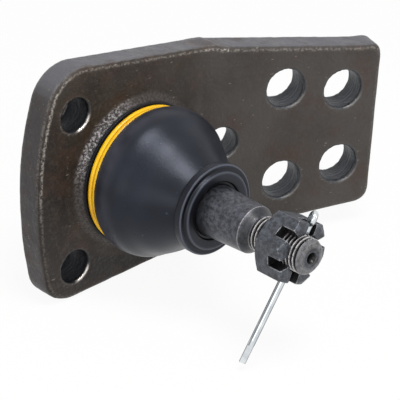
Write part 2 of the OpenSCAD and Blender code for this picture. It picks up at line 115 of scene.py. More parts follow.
def node(tree, kind, feeds=None, out=0, **settings):
    """Adds a shader node and gives its output. feeds maps a socket's name or number to a value or an output.

    MixRGB takes 0: share, 1: colour at 0, 2: colour at 1. MapRange takes 0: value, 1 and 2: the range that it
    comes from, 3 and 4: the range that it goes to, which is 0 to 1 unless given.
    """
    made = tree.nodes.new("ShaderNode" + kind)
    for name, value in settings.items():
        setattr(made, name, value)
    for socket, value in (feeds or {}).items():
        if isinstance(value, bpy.types.NodeSocket):
            tree.links.new(value, made.inputs[socket])
        else:
            made.inputs[socket].default_value = value
    return made.outputs[out] if made.outputs else made


def across(mm):
    """The noise scale that makes lumps about this many millimetres across."""
    return 0.5 / mm


SOFT_STEP = {"interpolation_type": "SMOOTHSTEP"}


def start(name):
    """A new material with its tree, and the row frame's place of the shaded point, in millimetres."""
    material = bpy.data.materials.new(name)
    material.use_nodes = True
    tree = material.node_tree
    tree.nodes.clear()
    place = node(tree, "TexCoord", out="Object")
    return material, tree, node(tree, "VectorMath", {0: place, "Scale": 1 / MM}, operation="SCALE")


# Drop-forged carbon steel, blasted, phosphated brown-black and oiled. To the eye: a dull semi-gloss brown skin
# with sandy grain and oily patches, greyer on the arm, the left end darker with oil and painted shade, rubbed to
# speckled bright steel along its rounded edges with painted highlights added, with coarse blasted grit on the boss
# painted bright on its upper left as a painted highlight, painted glints at the hole mouths, and bright tool marks
# in the drilled holes, whose end-hole walls are painted near black as painted shade.
# The real grit is about 0.3 mm; it is drawn at 0.55 to 0.8 mm, so that it shows.
forging, t, place = start("phosphated_forged_steel")
sand = node(t, "TexNoise", {"Vector": place, "Scale": across(0.8), "Detail": 5, "Roughness": 0.6})
grit = node(t, "TexNoise", {"Vector": place, "Scale": across(0.55), "Detail": 4, "Roughness": 0.65})
lumps = node(t, "TexNoise", {"Vector": place, "Scale": across(4), "Detail": 3})
patch = node(t, "TexNoise", {"Vector": place, "Scale": across(22), "Detail": 4, "Roughness": 0.6})
stain = node(t, "TexNoise", {"Vector": place, "Scale": across(9), "Detail": 4, "Roughness": 0.65})
ridge = node(t, "Attribute", attribute_name="bright_edge")
bored = node(t, "Attribute", attribute_name="bored")
mouth_glint = node(t, "Attribute", attribute_name="painted_mouth_glint")
grit_and_highlight = node(t, "Attribute", attribute_name="boss_grit_and_highlight")
trim_and_sheen = node(t, "Attribute", attribute_name="trimmed_side_and_sheen")
oil_and_shade = node(t, "Attribute", attribute_name="oiled_and_shaded_end")
grease_and_shadow = node(t, "Attribute", attribute_name="grease_and_boot_shadow")
depth = node(t, "Attribute", attribute_name="bore_depth")
patchy = node(t, "MapRange", {0: patch, 1: 0.36, 2: 0.64}, **SOFT_STEP)
arm_skin = node(t, "MixRGB", {0: patchy, 1: colour("#3a3633"), 2: colour("#46423f")})
# The left end's skin is darker: part oil, part painted shade for the weaker light there.
shaded_end_skin = node(t, "MixRGB", {0: patchy, 1: colour("#261f1b"), 2: colour("#352f29")})
base = node(t, "MixRGB", {0: oil_and_shade, 1: arm_skin, 2: shaded_end_skin})
# Grease and a painted shadow of the boot: darker below and left of the boot.
base = node(t, "MixRGB", {0: grease_and_shadow, 1: base, 2: colour("#1f1a17")})
# Trimmed sides a little greyer, and painted lighter where they face up: a painted reflection of the bright
# surroundings.
base = node(t, "MixRGB", {0: trim_and_sheen, 1: base, 2: colour("#5d5d62")})
rust = node(t, "MapRange", {0: stain, 1: 0.48, 2: 0.68, 3: 0, 4: 0.5}, **SOFT_STEP)
base = node(t, "MixRGB", {0: rust, 1: base, 2: colour("#422f25")})
sandy = node(t, "MapRange", {0: sand, 1: 0.46, 2: 0.74, 3: 0, 4: 0.26}, **SOFT_STEP)
base = node(t, "MixRGB", {0: sandy, 1: base, 2: colour("#544f4a")})
drawn_out = node(t, "VectorMath", {0: place, 1: (0.3, 1.0, 1.0)}, operation="MULTIPLY")
scratch = node(t, "TexNoise", {"Vector": drawn_out, "Scale": across(0.8), "Detail": 2})
scratch = node(t, "MapRange", {0: scratch, 1: 0.705, 2: 0.75, 3: 0, 4: 0.55}, **SOFT_STEP)
base = node(t, "MixRGB", {0: scratch, 1: base, 2: colour("#8a827b")})
gritty = node(t, "MapRange", {0: grit, 1: 0.40, 2: 0.60}, **SOFT_STEP)
# Blasted grit on the boss, painted bright mostly on its upper left as a painted highlight.
boss_skin = node(t, "MixRGB", {0: gritty, 1: colour("#2b2725"), 2: colour("#a09b9c")})
base = node(t, "MixRGB", {0: grit_and_highlight, 1: base, 2: boss_skin})
# Rubbed edges with painted highlights added on them, and the painted glint at the hole mouths.
brightening = node(t, "Math", {0: gritty, 1: ridge}, operation="MULTIPLY")
brightening = node(t, "Math", {0: brightening, 1: mouth_glint}, operation="MAXIMUM")
base = node(t, "MixRGB", {0: brightening, 1: base, 2: colour("#9a938c")})
# Painted glint: a pale painted highlight on the lower right of each hole's mouth.
base = node(t, "MixRGB", {0: mouth_glint, 1: base, 2: colour("#d9d3cd")})
# Uneven drill marks, drawn 0.8 mm wide where real ones are finer.
wander = node(t, "Math", {0: lumps, 1: 3.0, 2: depth}, operation="MULTIPLY_ADD")
marks = node(t, "TexNoise", {"W": wander, "Scale": across(0.8), "Detail": 3}, noise_dimensions="1D")
tooled = node(t, "MapRange", {0: marks, 1: 0.3, 2: 0.7}, **SOFT_STEP)
arm_wall = node(t, "MixRGB", {0: tooled, 1: colour("#212327"), 2: colour("#515459")})
# The end holes' walls are painted near black: painted shade deep inside the holes.
shaded_end_wall = node(t, "MixRGB", {0: tooled, 1: colour("#0e0f12"), 2: colour("#24262b")})
wall = node(t, "MixRGB", {0: oil_and_shade, 1: arm_wall, 2: shaded_end_wall})
in_bore = node(t, "Math", {0: bored, 1: mouth_glint}, operation="SUBTRACT", use_clamp=True)
base = node(t, "MixRGB", {0: in_bore, 1: base, 2: wall})
rough = node(t, "MapRange", {0: lumps, 1: 0.3, 2: 0.7, 3: 0.38, 4: 0.54}, **SOFT_STEP)
rough = node(t, "Math", {0: mouth_glint, 1: -0.3, 2: rough}, operation="MULTIPLY_ADD")
bare = node(t, "Math", {0: brightening, 1: bored}, operation="MAXIMUM")
metal = node(t, "Math", {0: bare, 1: 0.6}, operation="MULTIPLY")
height = node(t, "Math", {0: sand, 1: lumps}, operation="ADD")
height = node(t, "Math", {0: gritty, 1: grit_and_highlight, 2: height}, operation="MULTIPLY_ADD")
bump = node(t, "Bump", {"Height": height, "Distance": 0.4 * MM})
feeds = {"Base Color": base, "Roughness": rough, "Metallic": metal, "Normal": bump, "Specular IOR Level": 0.25}
node(t, "OutputMaterial", {"Surface": node(t, "BsdfPrincipled", feeds)})

# Moulded chloroprene rubber: blue-black, satin from the mould, with a fine skin, a faint bloom and a few scuffs,
# painted highlights on the lip's flange and ridge edges, dust with a painted lighter band near the ring, and painted
# shade in the mouth round the stud and in the lip's groove. The mould's skin is finer than 0.1 mm; it is drawn at
# 0.6 mm.
rubber, t, place = start("moulded_rubber")
skin = node(t, "TexNoise", {"Vector": place, "Scale": across(0.6), "Detail": 4, "Roughness": 0.6})
bloom = node(t, "TexNoise", {"Vector": place, "Scale": across(12), "Detail": 4, "Roughness": 0.55})
nick = node(t, "TexNoise", {"Vector": place, "Scale": across(1.4), "Detail": 2})
recess_shade = node(t, "Attribute", attribute_name="recess_shade")
dust_and_sheen = node(t, "Attribute", attribute_name="dust_and_sheen")
bright_edge_mask = node(t, "Attribute", attribute_name="bright_edge")
bloomy = node(t, "MapRange", {0: bloom, 1: 0.35, 2: 0.7}, **SOFT_STEP)
base = node(t, "MixRGB", {0: bloomy, 1: colour("#0b0d13"), 2: colour("#151922")})
# Dust with a painted lighter band near the ring, standing in for light from the left.
dust_sheen_share = node(t, "MapRange", {0: bloom, 1: 0.25, 2: 0.6, 3: 0.3, 4: 1.0}, **SOFT_STEP)
dust_sheen_share = node(t, "Math", {0: dust_sheen_share, 1: dust_and_sheen}, operation="MULTIPLY")
base = node(t, "MixRGB", {0: dust_sheen_share, 1: base, 2: colour("#4c4c55")})
# Scuffs, and painted highlights on the lip's flange and ridge edges.
scuff_and_highlight = node(t, "MapRange", {0: nick, 1: 0.70, 2: 0.78, 3: 0, 4: 0.4}, **SOFT_STEP)
scuff_and_highlight = node(t, "Math", {0: scuff_and_highlight, 1: bright_edge_mask}, operation="MAXIMUM")
base = node(t, "MixRGB", {0: scuff_and_highlight, 1: base, 2: colour("#565962")})
# Painted shade: near black in the mouth round the stud and in the lip's groove.
base = node(t, "MixRGB", {0: recess_shade, 1: base, 2: colour("#030304")})
rough = node(t, "MapRange", {0: bloom, 1: 0.3, 2: 0.7, 3: 0.32, 4: 0.42}, **SOFT_STEP)
bump = node(t, "Bump", {"Height": skin, "Distance": 0.05 * MM})
blue_sheen = colour("#d9dff0")
feeds = {"Base Color": base, "Roughness": rough, "Normal": bump}
feeds |= {"Specular IOR Level": 0.36, "Specular Tint": blue_sheen}
node(t, "OutputMaterial", {"Surface": node(t, "BsdfPrincipled", feeds)})

# Spring wire with a stoved yellow lacquer: a saturated, glossy coat that lies a little unevenly, painted a darker
# brown along the sides where the turns meet the rubber and each other, as painted shade.
lacquer, t, place = start("yellow_lacquered_wire")
coat = node(t, "TexNoise", {"Vector": place, "Scale": across(4), "Detail": 3})
thick = node(t, "MapRange", {0: coat, 1: 0.35, 2: 0.7}, **SOFT_STEP)
base = node(t, "MixRGB", {0: thick, 1: colour("#ffc916"), 2: colour("#f0b208")})
# Painted shade along the wire's sides, where the turns meet the rubber and each other.
side_shade = node(t, "Attribute", attribute_name="painted_side_shade")
base = node(t, "MixRGB", {0: side_shade, 1: base, 2: colour("#96690c")})
bump = node(t, "Bump", {"Height": coat, "Distance": 0.04 * MM})
feeds = {"Base Color": base, "Roughness": 0.26, "Normal": bump}
node(t, "OutputMaterial", {"Surface": node(t, "BsdfPrincipled", feeds)})

# Turned, hardened and phosphated alloy steel: mottled blue-black with a soft shine, fine turning marks,
# and crests and shoulders rubbed to brownish-white steel. The marks are drawn about 0.5 mm apart.
turned, t, place = start("phosphated_turned_steel")
squash = node(t, "VectorMath", {0: place, 1: (0.12, 1.0, 0.12)}, operation="MULTIPLY")
cuts = node(t, "TexNoise", {"Vector": squash, "Scale": across(0.5), "Detail": 3, "Roughness": 0.6})
sand = node(t, "TexNoise", {"Vector": place, "Scale": across(0.6), "Detail": 4, "Roughness": 0.65})
patch = node(t, "TexNoise", {"Vector": place, "Scale": across(0.9), "Detail": 4, "Roughness": 0.7})
bright_edge_mask = node(t, "Attribute", attribute_name="bright_edge")
shade_and_oil = node(t, "Attribute", attribute_name="painted_shade_and_oil")
patchy = node(t, "MapRange", {0: patch, 1: 0.34, 2: 0.66}, **SOFT_STEP)
base = node(t, "MixRGB", {0: patchy, 1: colour("#26272c"), 2: colour("#55575f")})
# Painted darker: painted shade in the thread roots and the centre hole, a painted shadow with oil by the lip, and
# the cone below the thread.
base = node(t, "MixRGB", {0: shade_and_oil, 1: base, 2: colour("#0f0f11")})
speckled = node(t, "MapRange", {0: sand, 1: 0.30, 2: 0.52}, **SOFT_STEP)
brightening = node(t, "Math", {0: speckled, 1: bright_edge_mask}, operation="MULTIPLY")
base = node(t, "MixRGB", {0: brightening, 1: base, 2: colour("#dad6d3")})
rough = node(t, "MapRange", {0: patch, 1: 0.3, 2: 0.7, 3: 0.30, 4: 0.42}, **SOFT_STEP)
height = node(t, "Math", {0: cuts, 1: sand}, operation="ADD")
bump = node(t, "Bump", {"Height": height, "Distance": 0.06 * MM})
feeds = {"Base Color": base, "Roughness": rough, "Metallic": 0.3, "Normal": bump}
node(t, "OutputMaterial", {"Surface": node(t, "BsdfPrincipled", feeds)})

# Hot-pressed steel with a black oxide: dull black with blue-grey patches, thin worn outlines and painted shade in
# the slots.
pressed, t, place = start("blackened_pressed_steel")
sand = node(t, "TexNoise", {"Vector": place, "Scale": across(0.6), "Detail": 4, "Roughness": 0.65})
patch = node(t, "TexNoise", {"Vector": place, "Scale": across(1.0), "Detail": 5, "Roughness": 0.65})
bright_edge_mask = node(t, "Attribute", attribute_name="bright_edge")
slot_shade = node(t, "Attribute", attribute_name="painted_slot_shade")
patchy = node(t, "MapRange", {0: patch, 1: 0.38, 2: 0.66}, **SOFT_STEP)
base = node(t, "MixRGB", {0: patchy, 1: colour("#2a2c31"), 2: colour("#50545c")})
# Painted shade: the slots near black.
base = node(t, "MixRGB", {0: slot_shade, 1: base, 2: colour("#141416")})
thin = node(t, "MapRange", {0: patch, 1: 0.34, 2: 0.52, 3: 0.3, 4: 1.0}, **SOFT_STEP)
brightening = node(t, "Math", {0: bright_edge_mask, 1: thin}, operation="MULTIPLY")
base = node(t, "MixRGB", {0: brightening, 1: base, 2: colour("#8e9094")})
rough = node(t, "MapRange", {0: patch, 1: 0.3, 2: 0.7, 3: 0.34, 4: 0.5}, **SOFT_STEP)
bump = node(t, "Bump", {"Height": sand, "Distance": 0.1 * MM})
feeds = {"Base Color": base, "Roughness": rough, "Metallic": 0.2, "Normal": bump}
node(t, "OutputMaterial", {"Surface": node(t, "BsdfPrincipled", feeds)})

# Drawn half-round wire with bright zinc plating: a slightly blue mirror, with painted dark lines along the corners
# of the wire and on its round near each corner, as painted shade standing in for dark reflections.
zinc, t, place = start("zinc_plated_wire")
flow = node(t, "TexNoise", {"Vector": place, "Scale": across(2.5), "Detail": 3})
pale = node(t, "MapRange", {0: flow, 1: 0.3, 2: 0.7}, **SOFT_STEP)
corner = node(t, "Attribute", attribute_name="painted_dark_lines")
base = node(t, "MixRGB", {0: pale, 1: colour("#c3c9ce"), 2: colour("#e2e6e8")})
# Painted dark lines: painted shade for dark reflections in the mirror-bright wire.
base = node(t, "MixRGB", {0: corner, 1: base, 2: colour("#4d545b")})
bump = node(t, "Bump", {"Height": flow, "Distance": 0.03 * MM})
feeds = {"Base Color": base, "Roughness": 0.14, "Metallic": 1.0, "Normal": bump}
node(t, "OutputMaterial", {"Surface": node(t, "BsdfPrincipled", feeds)})

# Moulded acetal: milky, waxy and very slightly mottled.
acetal, t, place = start("moulded_acetal")
cloud = node(t, "TexNoise", {"Vector": place, "Scale": across(3), "Detail": 2})
base = node(t, "MixRGB", {0: cloud, 1: colour("#dcd8cc"), 2: colour("#e6e3da")})
bump = node(t, "Bump", {"Height": cloud, "Distance": 0.02 * MM})
feeds = {"Base Color": base, "Roughness": 0.38, "Normal": bump}
node(t, "OutputMaterial", {"Surface": node(t, "BsdfPrincipled", feeds)})

# Pressed steel sheet with a thin zinc phosphate: mid grey and satin, with faint stains.
sheet, t, place = start("phosphated_steel_sheet")
sand = node(t, "TexNoise", {"Vector": place, "Scale": across(0.6), "Detail": 3})
stain = node(t, "TexNoise", {"Vector": place, "Scale": across(7), "Detail": 4, "Roughness": 0.6})
patchy = node(t, "MapRange", {0: stain, 1: 0.35, 2: 0.7}, **SOFT_STEP)
base = node(t, "MixRGB", {0: patchy, 1: colour("#4d4f52"), 2: colour("#6c6e71")})
bump = node(t, "Bump", {"Height": sand, "Distance": 0.04 * MM})
feeds = {"Base Color": base, "Roughness": 0.42, "Metallic": 0.85, "Normal": bump}
node(t, "OutputMaterial", {"Surface": node(t, "BsdfPrincipled", feeds)})


def seen_direct(tree):
    """1 for what the camera, gloss and glass see, and 0 for the light that falls on the object."""
    rays = [node(tree, "LightPath", out=f"Is {ray} Ray") for ray in ("Camera", "Glossy", "Transmission")]
    either = node(tree, "Math", {0: rays[0], 1: rays[1]}, operation="MAXIMUM")
    return node(tree, "Math", {0: either, 1: rays[2]}, operation="MAXIMUM")


# White studio paper: matt, and seen as plain white except where the object's shadow falls.
paper, t, place = start("white_studio_paper")
pulp = node(t, "TexNoise", {"Vector": place, "Scale": across(40), "Detail": 2})
base = node(t, "MixRGB", {0: pulp, 1: colour("#f4f4f3"), 2: colour("#f7f7f6")})
dull = node(t, "BsdfDiffuse", {"Color": base})
lit = node(t, "Emission", {"Color": (1, 1, 1, 1), "Strength": 1.0})
share = node(t, "Math", {0: seen_direct(t), 1: 0.93}, operation="MULTIPLY")
node(t, "OutputMaterial", {"Surface": node(t, "MixShader", {0: share, 1: dull, 2: lit})})

world = bpy.data.worlds.new("studio")
scene.world = world
world.use_nodes = True
t = world.node_tree
t.nodes.clear()
level = node(t, "MapRange", {0: seen_direct(t), 1: 0, 2: 1, 3: 0.34, 4: 1.0})
node(t, "OutputWorld", {"Surface": node(t, "Background", {"Color": (1, 1, 1, 1), "Strength": level})})


# ---------------------------------------------------------------- mesh helpers


def piece(name, points, faces, material, body=None, replaced=None):
    """A smooth-shaded mesh piece from points in mm, which rides on a body and may stand for a CAD node."""
    mesh = bpy.data.meshes.new(name)
    mesh.from_pydata([at(*p) for p in points], [], faces)
    return dress(mesh, name, material, body, replaced)


def dress(mesh, name, material, body, replaced):
    """An object for a finished mesh, with its material, its body and the CAD node that it stands for."""
    tidy = bmesh.new()
    tidy.from_mesh(mesh)
    bmesh.ops.remove_doubles(tidy, verts=tidy.verts, dist=1e-7)
    bmesh.ops.recalc_face_normals(tidy, faces=tidy.faces)
    tidy.to_mesh(mesh)
    tidy.free()
    mesh.shade_smooth()
    mesh.materials.clear()
    mesh.materials.append(material)
    made = bpy.data.objects.new(name, mesh)
    scene.collection.objects.link(made)
    if body:
        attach(made, body)
    if replaced:
        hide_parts(replaced)
    return made


def sharpen(made, degrees):
    """Shades edges bent by more than this as corners."""
    made.data.set_sharp_from_angle(angle=math.radians(degrees))


def rounded(profile, radii, steps=4):
    """A profile with its corners rounded. radii maps a corner's number to its radius."""
    out = []
    for i, here in enumerate(profile):
        r = radii.get(i, 0)
        if not r:
            out.append(here)
            continue
        p = Vector(here)
        a, b = Vector(profile[i - 1]) - p, Vector(profile[(i + 1) % len(profile)]) - p
        cut = min(r, 0.45 * a.length, 0.45 * b.length)
        a, b = p + a.normalized() * cut, p + b.normalized() * cut
        for k in range(steps + 1):
            u = k / steps
            q = a * (1 - u) ** 2 + p * 2 * u * (1 - u) + b * u**2
            out.append(tuple(q))
    return out


def finer(profile, longest, closed=False):
    """The same profile with points added, so that no stretch is longer than longest."""
    out = []
    last = len(profile) if closed else len(profile) - 1
    for i in range(last):
        a, b = Vector(profile[i]), Vector(profile[(i + 1) % len(profile)])
        n = max(1, math.ceil((b - a).length / longest))
        out += [tuple(a.lerp(b, k / n)) for k in range(n)]
    return out if closed else out + [tuple(profile[-1])]


def lathe(profile, sides, closed=True, wobble=None):
    """Points and faces of a profile of (radius, height) turned about the stud's axis."""
    points, faces = [], []
    for r, z in profile:
        for k in range(sides):
            a = TURN * k / sides
            dr, dz = wobble(a, r, z) if wobble and r > 1e-6 else (0, 0)
            points.append(((r + dr) * math.cos(a), (r + dr) * math.sin(a), z + dz))
    rows = len(profile)
    for i in range(rows if closed else rows - 1):
        j = (i + 1) % rows
        for k in range(sides):
            m = (k + 1) % sides
            faces.append((i * sides + k, i * sides + m, j * sides + m, j * sides + k))
    return points, faces


def tube(path, section):
    """Points and faces of a section carried along a path of (point, side, up) with flat ends."""
    points, faces = [], []
    n = len(section)
    for p, side, up in path:
        points += [tuple(p + side * u + up * v) for u, v in section]
    for i in range(len(path) - 1):
        for k in range(n):
            m = (k + 1) % n
            faces.append((i * n + k, i * n + m, (i + 1) * n + m, (i + 1) * n + k))
    faces.append(tuple(range(n)))
    faces.append(tuple(range((len(path) - 1) * n, len(path) * n)))
    return points, faces


def smooth(x, low, high):
    """0 below low, 1 above high and smooth between them."""
    u = np.clip((x - low) / (high - low), 0, 1)
    return u * u * (3 - 2 * u)


def band(x, low, high, edge):
    """1 between low and high, falling to 0 over edge on either side."""
    return smooth(x, low - edge, low) * (1 - smooth(x, high, high + edge))


def joint_points(mesh):
    """A mesh's points in mm about the ball's centre, as columns x, y and z."""
    co = np.empty(len(mesh.vertices) * 3)
    mesh.vertices.foreach_get("co", co)
    co = co.reshape(-1, 3) / MM
    return np.column_stack([co[:, 0], co[:, 2], -co[:, 1]])


def set_points(mesh, p):
    """Moves a mesh's points to places in mm about the ball's centre."""
    co = np.column_stack([p[:, 0], -p[:, 2], p[:, 1]]) * MM
    mesh.vertices.foreach_set("co", co.ravel())
    mesh.update()


def normals(mesh):
    """The outward directions at a mesh's points, about the ball's centre."""
    n = np.empty(len(mesh.vertices) * 3)
    mesh.vertex_normals.foreach_get("vector", n)
    n = n.reshape(-1, 3)
    return np.column_stack([n[:, 0], n[:, 2], -n[:, 1]])


def mark(mesh, name, values):
    """Stores a number at each point, for a material to read."""
    made = mesh.attributes.new(name, "FLOAT", "POINT")
    made.data.foreach_set("value", values.astype(np.float32))


def bulge(mesh, passes=2):
    """How strongly the surface bends outward at each point, per mm: 1/radius on a rounded edge."""
    p, n = joint_points(mesh), normals(mesh)
    edges = np.empty(len(mesh.edges) * 2, int)
    mesh.edges.foreach_get("vertices", edges)
    a, b = edges.reshape(-1, 2).T
    d = p[b] - p[a]
    bend = ((n[b] - n[a]) * d).sum(1) / np.maximum((d * d).sum(1), 1e-9)
    count = np.bincount(a, minlength=len(p)) + np.bincount(b, minlength=len(p))
    value = (np.bincount(a, bend, len(p)) + np.bincount(b, bend, len(p))) / count
    for _ in range(passes):
        around = np.bincount(a, value[b], len(p)) + np.bincount(b, value[a], len(p))
        value = (value + around / count) / 2
    return value


def reskinned(cad_node, voxel):
    """An even mesh over a CAD node's shape, fine enough to take a surface and rounded by one voxel at its edges."""
    copy = bmesh.new()
    copy.from_mesh(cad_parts[cad_node].data)
    bmesh.ops.remove_doubles(copy, verts=copy.verts, dist=1e-6)
    mesh = bpy.data.meshes.new("raw_" + cad_node)
    copy.to_mesh(mesh)
    copy.free()
    raw = bpy.data.objects.new("raw_" + cad_node, mesh)
    scene.collection.objects.link(raw)
    skin = raw.modifiers.new("skin", "REMESH")
    skin.mode, skin.voxel_size = "VOXEL", voxel * MM
    made = bpy.data.meshes.new_from_object(raw.evaluated_get(bpy.context.evaluated_depsgraph_get()))
    bpy.data.objects.remove(raw)
    bpy.data.meshes.remove(mesh)
    return made


def waves(p, n, share, layers):
    """Moves points inward along their normals by layers of noise: the size and depth of each in mm, and a seed."""
    out = p.copy()
    for size, depth, seed in layers:
        shift = Vector((seed, 2.3 * seed, -1.7 * seed))
        lift = np.array([noise.noise(Vector(q) / size + shift) for q in p])
        out -= n * ((0.5 + 0.5 * lift) * depth * share)[:, None]
    return out


# ---------------------------------------------------------------- forged plate and cup

BEND_X, PLATE_FRONT, PLATE_T = 39.0, 6.0, 15.0
PLATE_VOXEL = 0.84
LEAN = math.radians(21.5)
ALONG = Vector((math.cos(LEAN), 0, math.sin(LEAN)))
ARM_OUT = Vector((-math.sin(LEAN), 0, math.cos(LEAN)))
UP = Vector((0, 1, 0))


def on_arm(s, y):
    """A place on the arm's front face, s along it from the bend and y up."""
    return Vector((BEND_X, 0, PLATE_FRONT)) + ALONG * s + UP * y


# Centre on the front face, outward axis and radius of each drilled hole.
END_OUT = Vector((0, 0, 1))
SMALL_R, LARGE_R = 7.75, 9.5
ARM_ROWS = ((42.2, 46.8), (71.6, 38.4))
HOLES = [(Vector((-35.4, side * 36.7, PLATE_FRONT)), END_OUT, SMALL_R) for side in (-1, 1)]
HOLES += [(on_arm(11, 0), ARM_OUT, SMALL_R)]
HOLES += [(on_arm(s, side * gap / 2), ARM_OUT, LARGE_R) for s, gap in ARM_ROWS for side in (-1, 1)]
BURR = 0.5
GLINT_WAY = np.array((0.66, -0.75, 0))

mesh = reskinned("plate_housing", PLATE_VOXEL)
p, n = joint_points(mesh), normals(mesh)
radius = np.hypot(p[:, 0], p[:, 1])
past_bend = (p - np.array((BEND_X, 0, PLATE_FRONT))) @ np.array(ALONG + Vector((1, 0, 0))) > 0
facing = np.where(past_bend, n @ np.array(ARM_OUT), n[:, 2])

# Each drilled hole is made truly round again, and its wall and a painted glint at its mouth, a painted highlight on
# the lower right, are marked. The two end holes have a burr at the back, which closes the last glimpse of light
# through them.
bored, mouth_glint, bore_depth = np.zeros(len(p)), np.zeros(len(p)), np.zeros(len(p))
for centre, axis, r in HOLES:
    d = p - np.array(centre)
    along = d @ np.array(axis)
    radial = d - np.outer(along, axis)
    away = np.linalg.norm(radial, axis=1)
    end_hole = centre.x < 0
    near = 1 - smooth(away, r + 0.3, r + 1.0)
    wall = (away < r + 0.5) & (np.abs(n @ np.array(axis)) < 0.35)
    p[wall] += radial[wall] * (r / away[wall] - 1)[:, None]
    bored = np.maximum(bored, near)
    burr = BURR * smooth(-along, PLATE_T - 3, PLATE_T - 0.8) * (away < r + 1.2) * end_hole
    p -= radial * (burr / away)[:, None]
    bore_depth = np.where(near > 0, along, bore_depth)
    low_right = radial @ GLINT_WAY / away
    glint = (0.12 + 0.88 * smooth(low_right, 0.72, 0.95)) * (1 if end_hole else 0.3)
    mouth_glint = np.maximum(mouth_glint, near * band(along, -0.9, 0.0, 0.3) * glint)

# Wear and painted highlight: most on the left end's rounded edge, some along the top and at the bend, where upward
# edges are painted brighter as painted highlight. The trimmed sides are greyer and painted lighter where they face
# up, as a painted reflection; the boss's grit is painted bright on its upper left as a painted highlight; and grease
# with a painted shadow of the boot darkens the plate below and left of the boot.
plate_zone = smooth(radius, 40, 42)
off_holes = 1 - bored
lean_in = np.abs(facing)
left_end = 1 - smooth(p[:, 0], -46, -34)
# Edge wear, mostly at the left end, with painted highlight added on upward edges and at the bend.
wear_and_highlight = 0.15 + left_end * (0.05 + 0.9 * smooth(p[:, 1], -20, 28))
wear_and_highlight += 0.35 * smooth(n[:, 1], 0.05, 0.3) * (1 - left_end)
wear_and_highlight += 0.5 * band(p[:, 0], 41, 52, 4) * (n[:, 1] > 0.05)
ridge = band(lean_in, 0.84, 0.965, 0.04) * (facing > 0) + 0.3 * band(lean_in, 0.15, 0.42, 0.08)
ridge = ridge * wear_and_highlight * plate_zone * off_holes * smooth(bulge(mesh), 0.05, 0.14)
# Greyer trimmed sides, painted lighter where they face up as a painted reflection.
trim_and_sheen = (1 - smooth(lean_in, 0.2, 0.6)) * (0.25 + 0.75 * smooth(n[:, 1], 0.3, 0.8))
trim_and_sheen = trim_and_sheen * plate_zone * off_holes
round_boss = np.degrees(np.arctan2(p[:, 1], p[:, 0])) % 360
grit_and_highlight = band(radius, 33.6, 36.9, 0.7) * smooth(p[:, 2], 6.1, 6.5) * (p[:, 2] < 12)
# Grit all round, painted bright mostly on the upper left: a painted highlight where the light falls.
grit_and_highlight *= 0.12 + 0.88 * band(round_boss, 120, 150, 30)
spigot = (1 - smooth(radius, 33.2, 34.0)) * smooth(p[:, 2], 8.6, 9.0)
# Grease and a painted shadow of the boot, below and left of it.
grease_and_shadow = 0.85 * band(radius, 36, 54, 10) * band(round_boss, 170, 285, 30) * plate_zone
machined = np.maximum.reduce([bored, (radius < 26).astype(float), spigot])
# Oil and painted shade: the left end of the plate is painted darker.
oil_and_shade = 1 - smooth(p[:, 0], 28, 46)

# Small differences from the plain CAD outline that the photograph shows: where, which way, how far and how wide.
NUDGES = (
    (on_arm(87.6, 37.4), ALONG + UP, 1.7, 4.5),
    (on_arm(87.3, -39.2), ALONG - UP, 0.8, 5.0),
    (Vector((-48.5, -48.0, 0)), Vector((-1, -1, 0)), 0.7, 8.0),
    (Vector((-56.3, -10.0, 0)), Vector((1, 0, 0)), 0.4, 18.0),
    (Vector((-55.0, 22.0, 0)), Vector((-1, 0, 0)), 0.25, 14.0),
)
FORGED_WAVES = ((16, 0.16, 3), (5, 0.12, 7), (2.2, 0.10, 11))
shaped = waves(p, n, 1 - machined, FORGED_WAVES)
for centre, way, amount, reach in NUDGES:
    axis = np.array(ARM_OUT if centre.x > BEND_X else END_OUT)
    d = p - np.array(centre)
    away = np.linalg.norm(d - np.outer(d @ axis, axis), axis=1)
    shaped += np.outer(amount * np.exp(-((away / reach) ** 2)), way.normalized())
set_points(mesh, shaped)
mark(mesh, "bright_edge", ridge)
mark(mesh, "bored", np.maximum(bored, spigot))
mark(mesh, "bore_depth", bore_depth)
mark(mesh, "painted_mouth_glint", mouth_glint)
mark(mesh, "grease_and_boot_shadow", grease_and_shadow)
mark(mesh, "boss_grit_and_highlight", grit_and_highlight)
mark(mesh, "trimmed_side_and_sheen", trim_and_sheen)
mark(mesh, "oiled_and_shaded_end", oil_and_shade)
dress(mesh, "forged_plate", forging, "housing", "plate_housing")

# ---------------------------------------------------------------- boot

BOSS_TOP, SPIGOT_TOP, RUBBER_GAP = 9.3, 15.2, 0.2
BASE_Z = BOSS_TOP + RUBBER_GAP
GROOVE_R, GROOVE_TOP = 29.9, 15.55
NECK_Z, NECK_R, LIP_R, LIP_IN_R = 52.5, 17.0, 21.0, 12.11
SPLIT_Z = 34.0
WALL, BELLY, BOOT_SIDES = 3.9, 16, 160
FOOT_R, FOOT_IN_R, FOOT_LIP = 33.3, 27.2, 0.6


def spline(points, steps):
    """A smooth curve through the points."""
    out = []
    for i in range(len(points) - 1):
        a, b, c, d = (Vector(points[min(max(i + k, 0), len(points) - 1)]) for k in (-1, 0, 1, 2))
        for k in range(steps):
            u = k / steps
            q = b + ((c - a) * u + (2 * a - 5 * b + 4 * c - d) * u**2 + (3 * b - a - 3 * c + d) * u**3) / 2
            out.append(tuple(q))
    return out + [tuple(points[-1])]


# The outline of the boot: share of the belly outside the neck, and share of the height.
STATIONS = [(1, 0), (1.1, 0.12), (1.05, 0.29), (0.84, 0.45), (0.625, 0.61), (0.37, 0.77), (0.12, 0.93), (0, 1)]
outside = spline([(NECK_R + BELLY * s, GROOVE_TOP + h * (NECK_Z - GROOVE_TOP)) for s, h in STATIONS], 14)


def boot_r(z):
    """Outer radius of the boot at a height above the groove."""
    return float(np.interp(z, [q[1] for q in outside], [q[0] for q in outside]))


